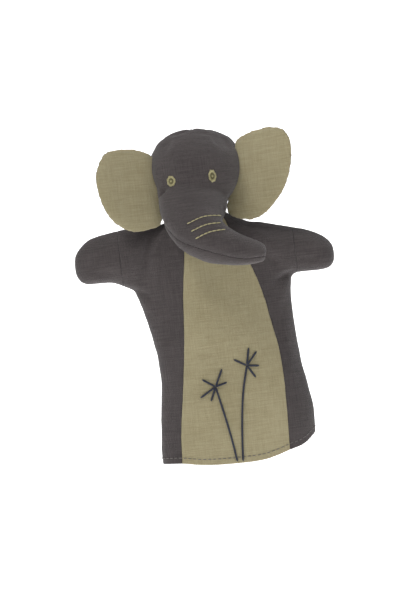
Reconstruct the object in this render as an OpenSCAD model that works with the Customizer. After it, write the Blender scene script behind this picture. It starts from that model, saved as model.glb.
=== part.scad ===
// Elephant glove puppet, standing as it is worn on a hand.
// +Z is up and the face looks along -Y. The origin is the middle of the hand opening, at its lowest level.

/* [Glove] */
// Cloth thickness of the single panels
cloth = 1; // [0.8:0.1:1.4]
// Height of the neck seam above the hand opening
neck_z = 199; // [190:1:204]
// Side seam, left, at the hem, measured from the middle
hem_left = 53; // [48:1:60]
// Side seam, right, at the hem
hem_right = 72; // [64:1:76]
// Side seam, left, at the waist
waist_left = 46.5; // [42:0.5:54]
// Side seam, right, at the waist
waist_right = 66.5; // [60:0.5:70]
// Side seam, left, under the arm
chest_left = 58; // [55:0.5:62]
// Side seam, right, under the arm
chest_right = 67.5; // [65:0.5:70]
// Depth of the open glove at the hem, front to back
hem_depth = 46; // [38:1:52]
// Depth of the open glove at the chest
chest_depth = 36; // [33:1:38]
// Height of the folded hem
hem_h = 9; // [7:0.5:12]
// Width of the pale belly panel at the hem
belly_hem_w = 87; // [76:1:96]
// Width of the belly panel at its widest, level with the waist
belly_waist_w = 78; // [70:1:84]

/* [Arms] */
// Reach of each arm from the middle to its tip
arm_reach = 104.5; // [98:0.5:110]
// Height of the left arm's middle above the hand opening
left_arm_z = 171; // [168:0.5:173]
// Height of the right arm's middle
right_arm_z = 166; // [164:0.5:168]
// Height of the left armhole
left_hole_h = 52; // [48:1:54]
// Height of the right armhole
right_hole_h = 44; // [42:1:46]
// Depth of both armholes, front to back
hole_depth = 33; // [31:0.5:34]
// Depth of the arms at the shoulder
arm_depth = 25; // [22:0.5:26]

/* [Head] */
// Width of the stuffed head
head_w = 74; // [68:1:78]
// Middle of the head above the top of the cloth
head_rise = 39; // [37:0.5:41]
// From the middle of the head to the crown
crown_h = 32; // [29:0.5:34]
// From the middle of the head down to its base
base_h = 37.5; // [36.5:0.5:38]
// From the middle of the head to the face
face_depth = 40; // [38:0.5:41]
// From the middle of the head to the back of the head
nape_depth = 33; // [31:0.5:37]
// Inside radius of the card finger tube
finger_r = 9.5; // [8.5:0.25:10]
// Length of the finger tube
finger_l = 48; // [36:1:52]
// Wall of the finger tube
tube_wall = 1; // [0.8:0.1:1.2]
// Neck band radius, outside
neck_r = 14; // [13.5:0.25:14.5]

/* [Trunk] */
// Half width of the trunk where it leaves the face
trunk_root = 25; // [22:0.5:26]
// Half width of the trunk at its tip
trunk_tip = 7.5; // [6:0.5:9]
// Depth of the trunk compared with its width
trunk_flat = 0.8; // [0.65:0.05:0.85]

/* [Ears] */
// Reach of the left ear beyond its seam, across the view
left_ear_w = 44; // [38:1:48]
// Reach of the right ear beyond its seam
right_ear_w = 41; // [36:1:46]
// Height of the ears
ear_h = 64; // [56:1:66]
// Thickness of the padded ears, middle
ear_t = 5; // [4:0.25:6]
// How far the ears are turned forward, degrees
ear_turn = 25; // [18:1:30]

/* [Embroidery] */
// Radius of the heavy thread of the flowers
flower_thread = 0.9; // [0.6:0.1:1.1]
// Radius of the wrinkle threads on the trunk
wrinkle_thread = 0.5; // [0.4:0.05:0.7]
// Length of one hem stitch
stitch_l = 2.6; // [2:0.1:3]
// Space from one hem stitch to the next
stitch_pitch = 4; // [3.6:0.2:5]

/* [Hidden] */

GREY = "#544e51";
TAN = "#9d9373";
THREAD = "#bdb482";
NAVY = "#23262f";
GREY_THREAD = "#6b6663";
WADDING = "#e9e4d8";
CARD = "#b09a72";

// ---- curves and meshes ---------------------------------------------------
function clamp(v, lo, hi) = min(max(v, lo), hi);
function mix(a, b, t) = a + (b - a) * t;
function ease(t) = let (k = clamp(t, 0, 1)) k * k * (3 - 2 * k);
function round_off(t) = sqrt(max(0, 1 - t * t));

// A smooth curve through [place, value] knots; a value is a number or a point.
function slope(p, i) =
  let (a = max(i - 1, 0), b = min(i + 1, len(p) - 1)) (p[b][1] - p[a][1]) / (p[b][0] - p[a][0]);
function knot(p, s, i = 0) = i >= len(p) - 2 || s < p[i + 1][0] ? i : knot(p, s, i + 1);
function along(p, s) =
  let (i = knot(p, s), h = p[i + 1][0] - p[i][0], t = clamp((s - p[i][0]) / h, 0, 1), u = 1 - t)
  p[i][1] * (1 + 2 * t) * u * u + slope(p, i) * h * t * u * u
  + p[i + 1][1] * t * t * (3 - 2 * t) - slope(p, i + 1) * h * t * t * u;

// A smooth closed curve through points, each stretch cut into n steps.
function closed_curve(p, n) = [
  for (i = [0 : len(p) - 1], k = [0 : n - 1])
    let (
      m = len(p), t = k / n, u = 1 - t,
      a = p[(i + m - 1) % m], b = p[i], c = p[(i + 1) % m], d = p[(i + 2) % m]
    )
    b * (1 + 2 * t) * u * u + (c - a) / 2 * t * u * u
    + c * t * t * (3 - 2 * t) - (d - b) / 2 * t * t * u
];

// A mesh is [points, triangles]. Its triangles turn the same way all over.
function joined(rows) = [for (row = rows) each row];
function quad(a, b, c, d) = [[a, b, c], [a, c, d]];
function sheet(outer, inner) =
  let (nv = len(outer), nu = len(outer[0]), n = nv * nu)
  [
    concat(joined(outer), joined(inner)),
    concat(
      [for (i = [0 : nv - 2], j = [0 : nu - 2]) let (a = i * nu + j) each quad(a, a + 1, a + nu + 1, a + nu)],
      [for (i = [0 : nv - 2], j = [0 : nu - 2])
        let (a = n + i * nu + j) each quad(a, a + nu, a + nu + 1, a + 1)],
      [for (j = [0 : nu - 2]) each quad(j, n + j, n + j + 1, j + 1)],
      [for (j = [0 : nu - 2]) let (a = n - nu + j) each quad(a, a + 1, n + a + 1, n + a)],
      [for (i = [0 : nv - 2]) let (a = i * nu) each quad(a, a + nu, n + a + nu, n + a)],
      [for (i = [0 : nv - 2]) let (a = i * nu + nu - 1) each quad(a, n + a, n + a + nu, a + nu)]
    )
  ];
// A skin over closed rings. Ends are fans, or the last ring meets the first when looped.
function loft(rings, looped = false) =
  let (m = len(rings), n = len(rings[0]), last = looped ? m - 1 : m - 2)
  [
    joined(rings),
    concat(
      [for (i = [0 : last], j = [0 : n - 1])
        let (k = (j + 1) % n, a = i * n, b = ((i + 1) % m) * n) each quad(a + j, a + k, b + k, b + j)],
      looped ? [] : [for (j = [1 : n - 2]) [0, j + 1, j]],
      looped ? [] : [for (j = [1 : n - 2]) let (a = (m - 1) * n) [a, a + j, a + j + 1]]
    )
  ];
function together(meshes, i = 0, base = 0) = i >= len(meshes) ? [[], []] :
  let (rest = together(meshes, i + 1, base + len(meshes[i][0])))
  [concat(meshes[i][0], rest[0]), concat([for (f = meshes[i][1]) [for (v = f) v + base]], rest[1])];
function signed(mesh, i = 0, sum = 0) = i >= len(mesh[1]) ? sum :
  let (f = mesh[1][i], p = mesh[0])
  signed(mesh, i + 1, sum + cross(p[f[0]], p[f[1]]) * p[f[2]]);
module solid(mesh) {
  faces = signed(mesh) < 0 ? mesh[1] : [for (f = mesh[1]) [f[2], f[1], f[0]]];
  polyhedron(points = mesh[0], faces = faces, convexity = 10);
}
function unit(v) = v / norm(v);
// A round thread along points, on a surface whose outward direction is out.
function thread(path, r, out, sides = 6) = loft([
  for (i = [0 : len(path) - 1])
    let (
      a = path[max(i - 1, 0)], b = path[min(i + 1, len(path) - 1)],
      side = unit(cross(b - a, out)), up = unit(cross(side, b - a))
    )
    [for (k = [0 : sides - 1]) path[i] + r * (cos(360 * k / sides) * side + sin(360 * k / sides) * up)]
]);

// ---- body of the glove ---------------------------------------------------
NECK_X = 2;
neck_hole_r = neck_r + 2.5;
armhole_left = 52;
armhole_right = 58;
armpit_left = left_arm_z - left_hole_h / 2;
armpit_right = right_arm_z - right_hole_h / 2;
shoulder_left = left_arm_z + left_hole_h / 2;
shoulder_right = right_arm_z + right_hole_h / 2;
hem_rise_left = 5;
hem_rise_right = 14;
// Share of the height at which the shoulders start to close.
closing = 0.87;
bulge = 0.8;

function left_side(z) = along([[0, hem_left], [84, waist_left], [armpit_left, chest_left]], z);
function right_side(z) =
  along([[0, hem_right], [48, hem_right], [105, waist_right], [armpit_right, chest_right]], z);
function hole_half(z, middle, h) = hole_depth / 2 * (z > middle ? 1 : round_off((middle - z) / (h / 2)));
function body_depth(v) = along([[0, hem_depth / 2], [0.4, hem_depth / 2 - 1], [0.75, chest_depth / 2],
  [1, chest_depth / 2]], v);
// One level of the body: its two ends, their half depths, and the half depth between them. in is the cloth
// taken off.
function level(v, in) =
  let (
    zl = v * shoulder_left, zr = v * shoulder_right,
    ol = ease((zl - armpit_left) / 2), orr = ease((zr - armpit_right) / 2),
    d = body_depth(v)
  )
  [-mix(left_side(zl) - in, armhole_left, ol), mix(right_side(zr) - in, armhole_right, orr),
   ol * (hole_half(zl, left_arm_z, left_hole_h) - in), orr * (hole_half(zr, right_arm_z, right_hole_h) - in),
   d - in];
function edge_turn(h, d) = asin(pow(clamp(h / d, 0, 0.999), 1 / bulge));
function top_z(x) = along([[-armhole_left, shoulder_left], [NECK_X - neck_hole_r, neck_z],
  [NECK_X + neck_hole_r, neck_z], [armhole_right, shoulder_right]], x);
function hem_z(x) = x < 0 ? hem_rise_left * pow(x / hem_left, 2) : hem_rise_right * pow(x / hem_right, 2);
// A point of the body. s runs from the left edge (0) to the right edge (1), v from hem to neck, side is -1
// in front.
function body_turn(s, v) =
  let (l = level(v, 0), a = edge_turn(l[2], l[4]), b = edge_turn(l[3], l[4]))
  acos(clamp(cos(a) - s * (cos(a) + cos(b)), -1, 1));
function body_point(turn, v, side, in = 0) =
  let (
    l = level(v, in), o = level(v, 0), a = edge_turn(o[2], o[4]), b = edge_turn(o[3], o[4]),
    x = mix(l[0], l[1], (cos(a) - cos(turn)) / (cos(a) + cos(b))),
    f = round_off(clamp((v - closing) / (1 - closing), 0, 1)),
    hole = (neck_hole_r - in) * round_off(clamp((x - NECK_X) / (neck_hole_r - in), -1, 1)),
    y = mix(hole, l[4] * pow(max(sin(turn), 0), bulge), f)
  )
  [x, side * y, hem_z(x) * pow(1 - v, 3) + top_z(x) * v - in * pow(v, 12)];
function body_share(x, v) = let (l = level(v, 0)) (x - l[0]) / (l[1] - l[0]);
// The two seams of the pale belly panel.
function belly_left(v) = along([[0, 5.5 - belly_hem_w / 2], [0.42, 12 - belly_waist_w / 2], [0.7, -20.5],
  [0.86, -15.5], [1, NECK_X - 13]], v);
function belly_right(v) = along([[0, 5.5 + belly_hem_w / 2], [0.42, 12 + belly_waist_w / 2], [0.7, 42],
  [0.86, 31], [1, NECK_X + 15]], v);
ROWS = [0, 0.05, 0.14, 0.24, 0.34, 0.44, 0.54, 0.62, 0.68, 0.72, 0.737, 0.746, 0.756, 0.768, 0.777, 0.79,
  0.82, 0.85, 0.88, 0.91, 0.94, 0.965, 0.985, 1];

function panel(from, to, side, columns) = sheet(
  [for (v = ROWS) [for (j = [0 : columns]) body_point(mix(from(v), to(v), j / columns), v, side)]],
  [for (v = ROWS) [for (j = [0 : columns]) body_point(mix(from(v), to(v), j / columns), v, side, cloth)]]
);
function left_edge(v) = body_turn(0, v);
function right_edge(v) = body_turn(1, v);
function left_seam(v) = body_turn(body_share(belly_left(v), v), v);
function right_seam(v) = body_turn(body_share(belly_right(v), v), v);
function back_seam(v) = body_turn(0.5, v);
module belly_panel() { color(TAN) solid(panel(function (v) left_seam(v), function (v) right_seam(v), -1,
  10)); }
module left_side_front() { color(GREY) solid(panel(function (v) left_edge(v), function (v) left_seam(v),
  -1, 9)); }
module right_side_front() { color(GREY) solid(panel(function (v) right_seam(v),
  function (v) right_edge(v), -1, 9)); }
module left_side_back() { color(GREY) solid(panel(function (v) left_edge(v), function (v) back_seam(v),
  1, 11)); }
module right_side_back() { color(GREY) solid(panel(function (v) back_seam(v), function (v) right_edge(v),
  1, 11)); }

// A point round the whole hem, k from 0 to 1, at height share v and depth in from the outside.
function hem_point(k, v, in) = k < 0.5
  ? body_point(360 * k, v, -1, in) : body_point(360 * (1 - k), v, 1, in);
facing_t = 0.8;
facing_gap = 0.4;
hem_share = hem_h / neck_z;
module hem_facing() {
  n = 56;
  color(GREY) solid(loft([
    for (c = [[0.002, 0], [hem_share, 0], [hem_share, facing_t], [0.002, facing_t]])
      [for (k = [0 : n - 1]) hem_point(k / n, c[0], cloth + facing_gap + c[1])]
  ], looped = true));
}
stitch_v = 0.025;
module hem_stitching() {
  r = 0.4;
  count = floor(2 * (hem_left + hem_right) * 1.12 / stitch_pitch);
  color(GREY_THREAD) solid(together([
    for (k = [0 : count - 1])
      let (a = hem_point(k / count, stitch_v, 0), b = hem_point((k + 0.1) / count, stitch_v, 0),
        t = unit(b - a), out = unit([t[1], -t[0], 0]), m = a + out * (r + 0.05))
      thread([m, m + t * stitch_l], r, out, 4)
  ]));
}

// A point of the belly in front, at x and height share v, lifted off the cloth.
function on_belly(p, lift) =
  let (v = p[1] / neck_z, q = body_point(body_turn(body_share(p[0], v), v), v, -1)) [q[0], q[1] - lift, q[2]];
function laid(a, b, n, r) = [for (i = [0 : n]) on_belly(mix(a, b, i / n), r + 0.1)];
module flower(centre, rays, stem) {
  r = flower_thread;
  color(NAVY) solid(together(concat(
    [for (e = rays) thread(laid(mix(centre, e, 0.18), e, 3, r), r, [0, -1, 0])],
    [thread([for (s = [0.1 : 0.1 : 1]) on_belly(along(stem, s), r + 0.1)], r, [0, -1, 0])]
  )));
}
module left_flower() {
  flower([-3.6, 62.7], [[3, 76], [5.7, 65], [-8.4, 52], [-16, 55.5], [-13.4, 69.6]],
    [[0, [-3.6, 62.7]], [0.5, [2.5, 34]], [1, [6.5, 6]]]);
}
module right_flower() {
  flower([23.2, 76.5], [[26.2, 90], [32, 86.6], [32.8, 75.2], [29, 66.4], [13.4, 82.4]],
    [[0, [23.2, 76.5]], [0.5, [15, 42]], [1, [11, 6]]]);
}

// ---- arms ----------------------------------------------------------------
// An arm is worked out to the left; side is 1 on the right. Each stretch is [distance from the armhole,
// half height].
arm_root = arm_depth / 2;
sleeve_l = 16;
function arm_z(side) = side < 0 ? left_arm_z : right_arm_z;
function arm_x0(side) = side < 0 ? armhole_left : armhole_right;
function arm_end(side) = arm_reach - arm_x0(side);
function arm_mid(side, s) = arm_z(side) + (side < 0
  ? along([[0, 0], [20, 1], [38, 2.5], [53, 2]], s) : along([[0, 0], [15, -2], [33, -5.5], [47, -5.5]], s));
function arm_half(side, s) =
  let (h = (side < 0 ? left_hole_h : right_hole_h) / 2)
  side < 0 ? along([[0, h - 2.2], [16, h - 3.5], [38, h - 7.5], [arm_end(side) - 5, h - 10],
    [arm_end(side), h - 16]], s)
    : along([[0, h - 1.8], [15, h - 2.8], [33, h - 6.5], [arm_end(side) - 5, h - 8], [arm_end(side),
      h - 13]], s);
function arm_flat(side, s, from) =
  arm_root * (from > 0 ? 0.86 : 1) * pow(max(0, 1 - pow(clamp(s / arm_end(side), 0, 1), 5)), 0.5);
function arm_point(side, s, turn, face, in, from, slim) =
  let (h = arm_half(side, s) - slim - in, d = max(0, arm_flat(side, s, from) - in))
  [side * (arm_x0(side) + s), face * d * sin(turn), arm_mid(side, s) + h * cos(turn)];
function arm_panel(side, face, from, to, slim, rows) = sheet(
  [for (i = [0 : rows]) [for (t = [0 : 18 : 180]) arm_point(side, mix(from, to, round_in(i / rows,
    from)), t, face, 0, from, slim)]],
  [for (i = [0 : rows]) [for (t = [0 : 18 : 180])
    arm_point(side, mix(from, to - (from > 0 ? cloth : 0), round_in(i / rows, from)), t, face, cloth,
      from, slim)]]
);
// Rows crowd towards the closed tip of a paw.
function round_in(t, from) = from > 0 ? 1 - pow(1 - t, 1.8) : t;
paw_from = sleeve_l + 1;
paw_slim = 3.4;
module sleeve(side, face) { color(GREY) solid(arm_panel(side, face, 1, sleeve_l - 0.5, 0, 4)); }
module paw(side, face) { color(GREY) solid(arm_panel(side, face, paw_from, arm_end(side), paw_slim, 9)); }
module left_sleeve_front() { sleeve(-1, -1); }
module left_sleeve_back() { sleeve(-1, 1); }
module left_paw_front() { paw(-1, -1); }
module left_paw_back() { paw(-1, 1); }
module right_sleeve_front() { sleeve(1, -1); }
module right_sleeve_back() { sleeve(1, 1); }
module right_paw_front() { paw(1, -1); }
module right_paw_back() { paw(1, 1); }

// ---- neck ----------------------------------------------------------------
nod_z = neck_z + 7;
band_h = 16;
module neck_band() {
  color(GREY) translate([NECK_X, 0, nod_z - 14]) difference() {
    cylinder(r = neck_r, h = band_h, $fn = 64);
    translate([0, 0, -1]) cylinder(r = neck_r - cloth, h = band_h + 2, $fn = 64);
  }
}
module neck_thread() {
  r = 0.5;
  color(THREAD) translate([NECK_X, 0, nod_z - 3]) rotate_extrude($fn = 64) translate([neck_r + r,
    0]) circle(r, $fn = 16);
}

// ---- head ----------------------------------------------------------------
head_z = neck_z + head_rise;
HEAD = [NECK_X, 0, head_z];
rim_turn = 150;
trunk_turn = 127;
trunk_round = 263;
trunk_gap = 15;
trunk_span = 46;
gusset_span = 22;
// Reach of the head from its middle; round is the way seen from above, turn is measured down from the crown.
function head_way(round, turn) = [cos(round) * sin(turn), sin(round) * sin(turn), cos(turn)];
function head_reach(round, turn) =
  let (d = head_way(round, turn), q = [d[0] / (head_w / 2), d[1] / (d[1] < 0 ? face_depth : nape_depth),
    d[2] / (d[2] > 0 ? crown_h : base_h)])
  1 / norm(q);
function head_point(round, turn, in = 0) = HEAD + head_way(round, turn) * (head_reach(round, turn) - in);
function trunk_off(round) = (round - trunk_round) / trunk_span;
function gusset_seam(round) =
  trunk_turn + (rim_turn - 1 - trunk_turn) * ease((abs(round - trunk_round) - trunk_span) / gusset_span);
function face_edge(round) = abs(trunk_off(round)) < 1 ? trunk_turn - trunk_gap * round_off(trunk_off(round))
  : abs(round - trunk_round) < trunk_span + gusset_span ? gusset_seam(round) : rim_turn;
function gusset_edge(round) = abs(trunk_off(round)) < 1
  ? trunk_turn + trunk_gap * round_off(trunk_off(round)) : gusset_seam(round);
function head_grid(rounds, from, to, rows, in) = [
  for (i = [0 : rows]) [for (a = rounds) head_point(a, mix(from, to(a), i / rows), in)]
];
crown_turn = 2;
FACE = [170, 178, 186, 194.5, 203, 210, 216, 219, 222, 228, 236, 245, 254, 263, 272, 281, 290, 298, 304,
  307, 310,
  317, 324, 331.5, 339, 347, 355, 370];
GUSSET = [for (a = FACE) if (abs(a - trunk_round) < trunk_span + gusset_span) a];
module head_part(rounds, from, to, rows) {
  solid(sheet(head_grid(rounds, from, to, rows, 0), head_grid(rounds, from, to, rows, cloth)));
}
module face_panel() { color(GREY) head_part(FACE, crown_turn, function (a) face_edge(a), 13); }
module chin_gusset() {
  rows = 3;
  grid = function (in) [for (i = [0 : rows]) [for (a = GUSSET) head_point(a, mix(gusset_edge(a),
    rim_turn, i / rows), in)]];
  color(GREY) solid(sheet(grid(0), grid(cloth)));
}
module left_head_back() { color(GREY) head_part([for (a = [90 : 8 : 170]) a], crown_turn,
  function (a) rim_turn, 12); }
module right_head_back() { color(GREY) head_part([for (a = [10 : 8 : 90]) a], crown_turn,
  function (a) rim_turn, 12); }

// The stuffing fills the head round the finger tube and stays clear of the trunk and the neck band.
well_r = finger_r + tube_wall + 0.2;
function dent(round, turn) = 9 * ease(1.7 - norm([trunk_off(round) * 1.1,
  (turn - trunk_turn) / (2.2 * trunk_gap)]));
module head_stuffing() {
  columns = [for (a = [0 : 12 : 348]) a];
  skin = cloth + 0.6;
  well_top = nod_z - 6 + finger_l + 0.5;
  foot_z = head_point(0, rim_turn)[2] + 1;
  color(WADDING) solid(loft(concat(
    [for (i = [0 : 14]) let (t = mix(1, rim_turn - 4, i / 14))
      [for (a = columns) head_point(a, t, skin + dent(a > 90 ? a : a + 360, t))]],
    [for (c = [[neck_r + 2.2, foot_z], [neck_r + 2, nod_z + 8], [well_r, nod_z + 9], [well_r, well_top]])
      [for (a = columns) [NECK_X + c[0] * cos(a), c[0] * sin(a), c[1]]]]
  )));
}
module finger_tube() {
  color(CARD) translate([NECK_X, 0, nod_z - 6]) difference() {
    cylinder(r = finger_r + tube_wall, h = finger_l, $fn = 64);
    translate([0, 0, -1]) cylinder(r = finger_r, h = finger_l + 2, $fn = 64);
  }
}

// An embroidered oval on the face: half sizes rx and rz, a rim of thread and a raised middle.
function eye_ring(round, turn, rx, rz, share, lift) = [
  for (k = [0 : 15 : 345])
    head_point(round + share * rx / face_depth / sin(turn) * 57.3 * cos(k),
      turn + share * rz / face_depth * 57.3 * sin(k), -lift)
];
module eye(round, turn, rx, rz) {
  color(THREAD) solid(loft([for (c = [[0.05, 0.1], [1, 0.1], [1.02, 0.5], [0.85, 1], [0.65, 0.6], [0.35,
    0.9], [0.05, 0.9]])
    eye_ring(round, turn, rx, rz, c[0], c[1])]));
}
module left_eye() { eye(237.5, 103.5, 3.6, 4.2); }
module right_eye() { eye(288.5, 103.5, 3.1, 4.9); }
module crown_stitches() {
  color(NAVY) solid(together([
    for (i = [0 : 3]) thread([for (t = [3 + 5 * i, 6.5 + 5 * i]) head_point(90, t, -0.5)], 0.4,
      head_way(90, 4), 4)
  ]));
}

// ---- trunk ---------------------------------------------------------------
// Places on the middle line of the trunk, from the middle of the head.
TRUNK = [for (p = [
  [0, [-2, -32.5, -25]], [1, [-4, -39, -36]], [2, [-1.5, -44, -49]], [3, [5, -48, -58]], [4, [14, -51, -63.5]],
  [5, [24, -53, -67.7]], [6, [34, -53, -71]], [7, [42, -52.5, -72.7]], [8, [48.5, -52, -73.5]]
]) [p[0], p[1] + [0, 0, head_z]]];
TRUNK_HALF = [[0, trunk_root - 2.5], [1, trunk_root], [2, trunk_root - 3], [3, 18], [4, 15.5], [5, 13],
  [6, 11], [7, trunk_tip + 1.5], [8, trunk_tip]];
function trunk_deep(s) = along(TRUNK_HALF, s) * along([[0, 0.4], [1, 0.55], [2, 0.72], [3, trunk_flat],
  [8, trunk_flat]], s)
  * round_off(pow(s / 8, 8));
function trunk_point(s, turn, in = 0) =
  let (
    t = unit(along(TRUNK, min(s + 0.05, 8)) - along(TRUNK, max(s - 0.05, 0))),
    side = unit([-t[2], 0, t[0]]), back = unit(cross(side, t)),
    w = along(TRUNK_HALF, s) - in, d = max(0, trunk_deep(s) - in)
  )
  along(TRUNK, s) + side * w * cos(turn) - back * d * sin(turn);
filling_gap = 1.1;
TRUNK_ROWS = [0, 0.5, 1, 1.5, 2, 2.5, 3, 3.5, 4, 4.5, 5, 5.5, 6, 6.5, 7, 7.4, 7.7, 7.9, 8];
top_from = -15;
top_to = 155;
module trunk_part(from, to, columns) {
  grid = function (in) [for (s = TRUNK_ROWS) [for (j = [0 : columns])
    trunk_point(s * (1 - in * 0.02), mix(from, to, j / columns), in)]];
  color(GREY) solid(sheet(grid(0), grid(cloth)));
}
module trunk_top_panel() { trunk_part(top_from, top_to, 10); }
module trunk_under_panel() { trunk_part(top_to, top_from + 360, 11); }
module trunk_stuffing() {
  color(WADDING) solid(loft([for (s = [0.3, 0.7, 1, 1.5, 2, 3, 4, 5, 6, 7, 7.4])
    [for (t = [0 : 20 : 340]) trunk_point(s, t, cloth + filling_gap)]]));
}
module trunk_wrinkles() {
  r = wrinkle_thread;
  color(THREAD) solid(together([
    for (w = [[1.35, 45, 103], [1.9, 40, 105], [2.45, 38, 108]])
      thread([for (i = [0 : 9]) let (u = i / 9) trunk_point(w[0] + 0.1 * u, mix(w[1], w[2], u),
        -r - 0.1)], r, [0, -1, 0])
  ]));
}

// ---- ears ----------------------------------------------------------------
// An ear is drawn flat: [reach out from its seam, height], then turned forward about the seam line.
EAR_SEAM_Y = -14;
function ear_seam_x(side) = side < 0 ? -33.5 : 37.5;
EAR = [[0.5, 0], [1, 21], [8, 27], [22, 32], [37, 30], [44, 16], [44, 3], [40, -17], [34, -30], [22,
  -33], [9, -31], [1.5, -20]];
ear_mid_z = head_z - 11;
function ear_place(side, reach, z, y) =
  let (w = side < 0 ? left_ear_w : right_ear_w, u = reach / 44 * w / cos(ear_turn))
  [ear_seam_x(side) + side * (u * cos(ear_turn) + y * sin(ear_turn)),
    EAR_SEAM_Y - u * sin(ear_turn) + y * cos(ear_turn),
   ear_mid_z + z / 64 * ear_h];
function ear_outline(share) = let (c = [24, 0]) [for (p = closed_curve(EAR, 3)) mix(c, p, share)];
function ear_ring(side, share, y) = [for (p = ear_outline(share)) ear_place(side, p[0], p[1], y)];
function pad(share, t) = t * pow(max(0, 1 - pow(share, 4)), 0.6);
module ear_skin(side, face) {
  half = ear_t / 2;
  solid(loft(concat(
    [for (s = [0.02, 0.45, 0.75, 0.92, 1]) ear_ring(side, s, face * (0.05 + pad(s, half - 0.4) + 0.35))],
    [for (s = [1, 0.9, 0.72, 0.42, 0.02]) ear_ring(side, s, face * (0.05 + pad(s,
      half - 1) * (s == 1 ? 0 : 1)))]
  )));
}
module ear_fill(side) {
  t = ear_t / 2 - 1.05;
  color(WADDING) solid(loft(concat(
    [for (s = [0.02, 0.42, 0.72, 0.88]) ear_ring(side, s, -pad(s, t))], [for (s = [0.88, 0.72, 0.42,
      0.02]) ear_ring(side, s, pad(s, t))]
  )));
}
module left_ear_front() { color(TAN) ear_skin(-1, -1); }
module left_ear_back() { color(GREY) ear_skin(-1, 1); }
module left_ear_wadding() { ear_fill(-1); }
module right_ear_front() { color(TAN) ear_skin(1, -1); }
module right_ear_back() { color(GREY) ear_skin(1, 1); }
module right_ear_wadding() { ear_fill(1); }

belly_panel();
left_side_front();
right_side_front();
left_side_back();
right_side_back();
hem_facing();
hem_stitching();
left_flower();
right_flower();
neck_band();
neck_thread();
face_panel();
chin_gusset();
left_head_back();
right_head_back();
head_stuffing();
finger_tube();
left_eye();
right_eye();
crown_stitches();
trunk_top_panel();
trunk_under_panel();
trunk_stuffing();
trunk_wrinkles();
left_ear_front();
left_ear_back();
left_ear_wadding();
right_ear_front();
right_ear_back();
right_ear_wadding();
left_sleeve_front();
left_sleeve_back();
left_paw_front();
left_paw_back();
right_sleeve_front();
right_sleeve_back();
right_paw_front();
right_paw_back();
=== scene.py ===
"""Elephant glove puppet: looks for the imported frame. Lengths are in millimetres, and meshes in metres."""

import math

import bmesh
import bpy
from mathutils import Matrix, Vector, noise
from mathutils.bvhtree import BVHTree


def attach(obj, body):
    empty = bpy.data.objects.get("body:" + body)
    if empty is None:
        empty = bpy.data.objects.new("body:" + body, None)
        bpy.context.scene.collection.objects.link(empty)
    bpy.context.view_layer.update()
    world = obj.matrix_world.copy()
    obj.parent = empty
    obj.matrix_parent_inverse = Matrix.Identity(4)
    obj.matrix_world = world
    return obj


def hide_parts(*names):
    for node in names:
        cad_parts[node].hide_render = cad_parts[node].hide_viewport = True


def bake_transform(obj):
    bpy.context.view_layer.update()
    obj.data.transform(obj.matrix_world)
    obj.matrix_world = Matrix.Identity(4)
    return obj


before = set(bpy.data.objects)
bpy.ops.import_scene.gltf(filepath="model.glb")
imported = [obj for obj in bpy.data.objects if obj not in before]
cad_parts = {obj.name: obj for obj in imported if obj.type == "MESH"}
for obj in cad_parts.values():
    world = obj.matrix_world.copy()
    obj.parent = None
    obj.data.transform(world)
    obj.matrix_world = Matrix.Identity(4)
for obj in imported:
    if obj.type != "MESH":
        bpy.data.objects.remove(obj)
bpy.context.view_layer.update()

MM = 0.001
LEAN = 7.0
HEAD = Vector((2, 0, 238))


# ---- numbers along curves ----

def ease(t):
    t = min(max(t, 0.0), 1.0)
    return t * t * (3 - 2 * t)


def mix(a, b, t):
    return a + (b - a) * t


def along(knots, place):
    """A smooth curve through (place, value, value ...) knots."""
    last = len(knots) - 2
    i = 0
    while i < last and place >= knots[i + 1][0]:
        i += 1

    def slope(k):
        a, b = max(k - 1, 0), min(k + 1, len(knots) - 1)
        return [(q - p) / (knots[b][0] - knots[a][0]) for p, q in zip(knots[a][1:], knots[b][1:])]
    start, end = knots[i], knots[i + 1]
    span = end[0] - start[0]
    t = min(max((place - start[0]) / span, 0.0), 1.0)
    u = 1 - t
    out = [
        p * (1 + 2 * t) * u * u + m * span * t * u * u + q * t * t * (3 - 2 * t) - n * span * t * t * u
        for p, q, m, n in zip(start[1:], end[1:], slope(i), slope(i + 1))
    ]
    return out if len(out) > 1 else out[0]


# ---- mesh tools ----

def placed(bm, name):
    """Turn a bmesh in millimetres into an object in metres, at the origin."""
    bmesh.ops.scale(bm, vec=(MM, MM, MM), verts=bm.verts)
    mesh = bpy.data.meshes.new(name)
    bm.to_mesh(mesh)
    bm.free()
    for face in mesh.polygons:
        face.use_smooth = True
    obj = bpy.data.objects.new(name, mesh)
    bpy.context.scene.collection.objects.link(obj)
    return obj


def opened(obj):
    """The object's mesh as a bmesh in millimetres."""
    bm = bmesh.new()
    bm.from_mesh(obj.data)
    bmesh.ops.scale(bm, vec=(1 / MM, 1 / MM, 1 / MM), verts=bm.verts)
    return bm


def closed_back(bm, obj):
    """Write a millimetre bmesh back to its object."""
    bmesh.ops.scale(bm, vec=(MM, MM, MM), verts=bm.verts)
    bm.to_mesh(obj.data)
    bm.free()
    for face in obj.data.polygons:
        face.use_smooth = True


def lofted(bm, rings, sides):
    """A closed form: a circle drawn out from ring to ring, capped at both ends."""
    made = bmesh.ops.create_circle(bm, cap_ends=False, segments=sides, radius=1)
    loop = made["verts"]
    edges = [e for e in bm.edges if e.verts[0] in loop and e.verts[1] in loop]
    bmesh.ops.contextual_create(bm, geom=edges)
    for number, ring in enumerate(rings):
        if number:
            grown = bmesh.ops.extrude_edge_only(bm, edges=edges)["geom"]
            loop = [g for g in grown if isinstance(g, bmesh.types.BMVert)]
            edges = [g for g in grown if isinstance(g, bmesh.types.BMEdge)]
        for vert, co in zip(loop, ring):
            vert.co = co
    bmesh.ops.contextual_create(bm, geom=edges)


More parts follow.
